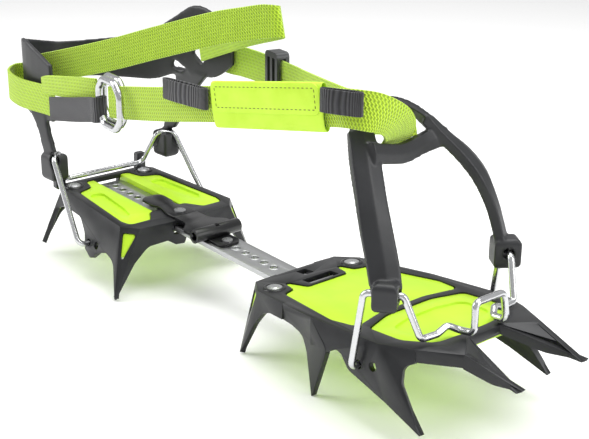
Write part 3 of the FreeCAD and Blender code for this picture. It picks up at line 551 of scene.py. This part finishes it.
def stitch_row(name, place, points, pitch, length, height):
    """Dashes of sewing thread sunk a little in the cloth, one short bead copied along a line."""
    deselect()
    bpy.ops.mesh.primitive_uv_sphere_add(segments=8, ring_count=6, radius=1, location=(0, 0, 0))
    bead = bpy.context.object
    bead.scale = (length / 2 * MM, 0.22 * MM, 0.22 * MM)
    bpy.ops.object.transform_apply(scale=True)
    beads = []
    for start, end in zip(points, points[1:]):
        a, b = Vector(start), Vector(end)
        run = (b - a).length
        count = max(1, round(run / pitch))
        turn = Matrix.Rotation(math.atan2(b.y - a.y, b.x - a.x), 4, "Z")
        for k in range(count):
            at = a.lerp(b, (k + 0.5) / count)
            copy = bead.copy()
            copy.data = bead.data.copy()
            bpy.context.scene.collection.objects.link(copy)
            copy.matrix_world = place @ Matrix.Translation(Vector((at.x, at.y, height)) * MM) @ turn
            beads.append(copy)
    bpy.data.objects.remove(bead)
    deselect()
    for copy in beads:
        copy.select_set(True)
    bpy.context.view_layer.objects.active = beads[0]
    bpy.ops.object.join()
    beads[0].name = name
    return beads[0]


edge_x = FLAP_LONG / 2 - 2.8
edge_low = FLAP_SHIFT - FLAP_TALL / 2 + 2.6
edge_high = FLAP_SHIFT + FLAP_TALL / 2 - 2.6
SEAM = [(-edge_x, edge_low), (edge_x, edge_low), (edge_x, edge_high), (-edge_x, edge_high),
        (-edge_x, edge_low)]
settle(stitch_row("sleeve_stitching", SLEEVE_AT, SEAM, 2.6, 1.7, FLAP_LOW + 0.95), "sleeve", THREAD,
       [], smooth=80)

for name, middle, across, long, tall in (("front_webbing_keeper", (94, -39.6, 117.0), (17, 6.5, 2), 11.5, 22),
                                         ("rear_webbing_keeper", (-6.8, -54.2, 104.6), (37, 1.5, 7), 11, 36)):
    loop, girth = cloth_loop(name, axes_of(middle, UP, across), long, tall, 4.6, 1.1, 0.0, 0.06)
    settle(loop, "sleeve", BLACK_WEB,
           ["keeper_loop_front" if "front" in name else "keeper_loop_rear"], smooth=70)


# ------------------------------------------------------------------ metal, snow plates and mouldings
def raised_rings(name, places, radius, thick, height):
    """Flattened rings, one made and the rest copied, joined as one piece."""
    deselect()
    bpy.ops.mesh.primitive_torus_add(major_radius=radius * MM, minor_radius=thick * MM, major_segments=28,
                                     minor_segments=8, location=(0, 0, 0))
    ring = bpy.context.object
    ring.scale = (1, 1, height / thick)
    bpy.ops.object.transform_apply(scale=True)
    rings = []
    for at, turn in places:
        copy = ring.copy()
        copy.data = ring.data.copy()
        bpy.context.scene.collection.objects.link(copy)
        copy.matrix_world = Matrix.Translation(at) @ turn
        rings.append(copy)
    bpy.data.objects.remove(ring)
    deselect()
    for copy in rings:
        copy.select_set(True)
    bpy.context.view_layer.objects.active = rings[0]
    bpy.ops.object.join()
    rings[0].name = name
    return rings[0]


HEEL_TURN = Matrix.Rotation(HEEL_PITCH, 4, "Y")
TOE_TURN = Matrix.Rotation(TOE_PITCH, 4, "Y")
bar_holes = [(on_heel(-161.5 + 8.5 * i, 0, -3.6), HEEL_TURN) for i in range(20)]
settle(raised_rings("bar_hole_rims", bar_holes, 2.95, 0.5, 0.22), "bar", BAR, [], smooth=60)
settle(raised_rings("toe_rivet_pads", [(on_toe(34, y, 0), TOE_TURN) for y in (-28.4, 28.4)], 5.4, 1.15, 0.7),
       "front_plate", LEVER, [], smooth=60)
settle(raised_rings("heel_rivet_pads", [(on_heel(-168.9, y, 0), HEEL_TURN) for y in (-27.1, 27.1)], 5.4,
                    1.15, 0.7),
       "heel_plate", LEVER, [], smooth=60)
# the frames' bevelled edges carry the painted highlight material
settle(bevelled("front_frame", "toe_frame_steel", 0.0006, STEEL, EDGE), "front_plate", STEEL,
       ["front_frame"])
settle(bevelled("heel_frame", "heel_frame_steel", 0.0006, STEEL, EDGE), "heel_plate", STEEL,
       ["heel_frame"])
settle(bevelled("front_antiball_plate", "toe_snow_plate", 0.0012, LIME), "front_plate", LIME,
       ["front_antiball_plate"])
settle(bevelled("heel_antiball_plate", "heel_snow_plate", 0.0012, LIME), "heel_plate", LIME,
       ["heel_antiball_plate"])
settle(bevelled("link_bar", "punched_link_bar", 0.0004, BAR), "bar", BAR, ["link_bar"])
settle(bevelled("length_lever", "lever_spring_front", 0.0004, LEVER), "lever", LEVER,
       ["length_lever"])
settle(bevelled("lever_tongue", "lever_spring_tongue", 0.0004, LEVER), "heel_plate", LEVER,
       ["lever_tongue"])
settle(soft_moulding("front_cradle", "toe_cradle_moulding", 0.0007, 3), "front_cradle_group", NYLON,
       ["front_cradle"], smooth=60)
settle(soft_moulding("heel_cradle", "heel_cradle_moulding", 0.0008, 9), "heel_cradle_group", NYLON,
       ["heel_cradle"], smooth=60)
for node, material in (("front_plate_rivets", RIVET), ("heel_plate_rivets", RIVET), ("lever_rivet", RIVET),
                       ("lever_lock_pin", RIVET), ("front_bail_wire", WIRE), ("heel_bail_wire", WIRE),
                       ("ring_outer", RING), ("ring_inner", RING), ("heel_stop_tabs", ACETAL),
                       ("triglide_buckle", ACETAL)):
    repaint(node, material)

# ------------------------------------------------------------------ floor, lights and camera
deselect()
bpy.ops.mesh.primitive_plane_add(size=8, location=(0, 0, 0))
floor = bpy.context.object
floor.name = "studio_floor"
paper = new_finish("white_paper", "#ffffff", 0.9)[0]
floor.data.materials.append(paper)

bpy.context.scene.view_settings.view_transform = "Standard"
world = bpy.data.worlds.new("studio_air")
bpy.context.scene.world = world
world.use_nodes = True
world.node_tree.nodes["Background"].inputs["Color"].default_value = (1, 1, 1, 1)
world.node_tree.nodes["Background"].inputs["Strength"].default_value = 0.62


def softbox(name, where, target, width, height, watts):
    lamp = bpy.data.lights.new(name, "AREA")
    lamp.shape = "RECTANGLE"
    lamp.size, lamp.size_y, lamp.energy = width, height, watts
    obj = bpy.data.objects.new(name, lamp)
    bpy.context.scene.collection.objects.link(obj)
    obj.location = where
    obj.rotation_euler = (Vector(target) - Vector(where)).to_track_quat("-Z", "Y").to_euler()


softbox("overhead_softbox", (0.0, 0.15, 1.1), (0, 0, 0.05), 0.9, 0.9, 10)
softbox("left_softbox", (-0.7, -0.6, 0.6), (0, 0, 0.05), 0.5, 0.7, 5)
softbox("right_strip", (0.9, 0.3, 0.5), (0.1, 0, 0.05), 0.25, 0.8, 4)

camera_data = bpy.data.cameras.new("studio_camera")
camera = bpy.data.objects.new("studio_camera", camera_data)
bpy.context.scene.collection.objects.link(camera)
bpy.context.scene.camera = camera
camera_data.sensor_width = 36
camera_data.lens = 36 * 1186.7 / 589
camera.location = level(476.61, -405.86, 248.54)
camera.rotation_euler = (math.radians(90 - 19.626), 0, math.radians(48.53))
camera.rotation_euler.rotate_axis("Z", math.radians(0.448))
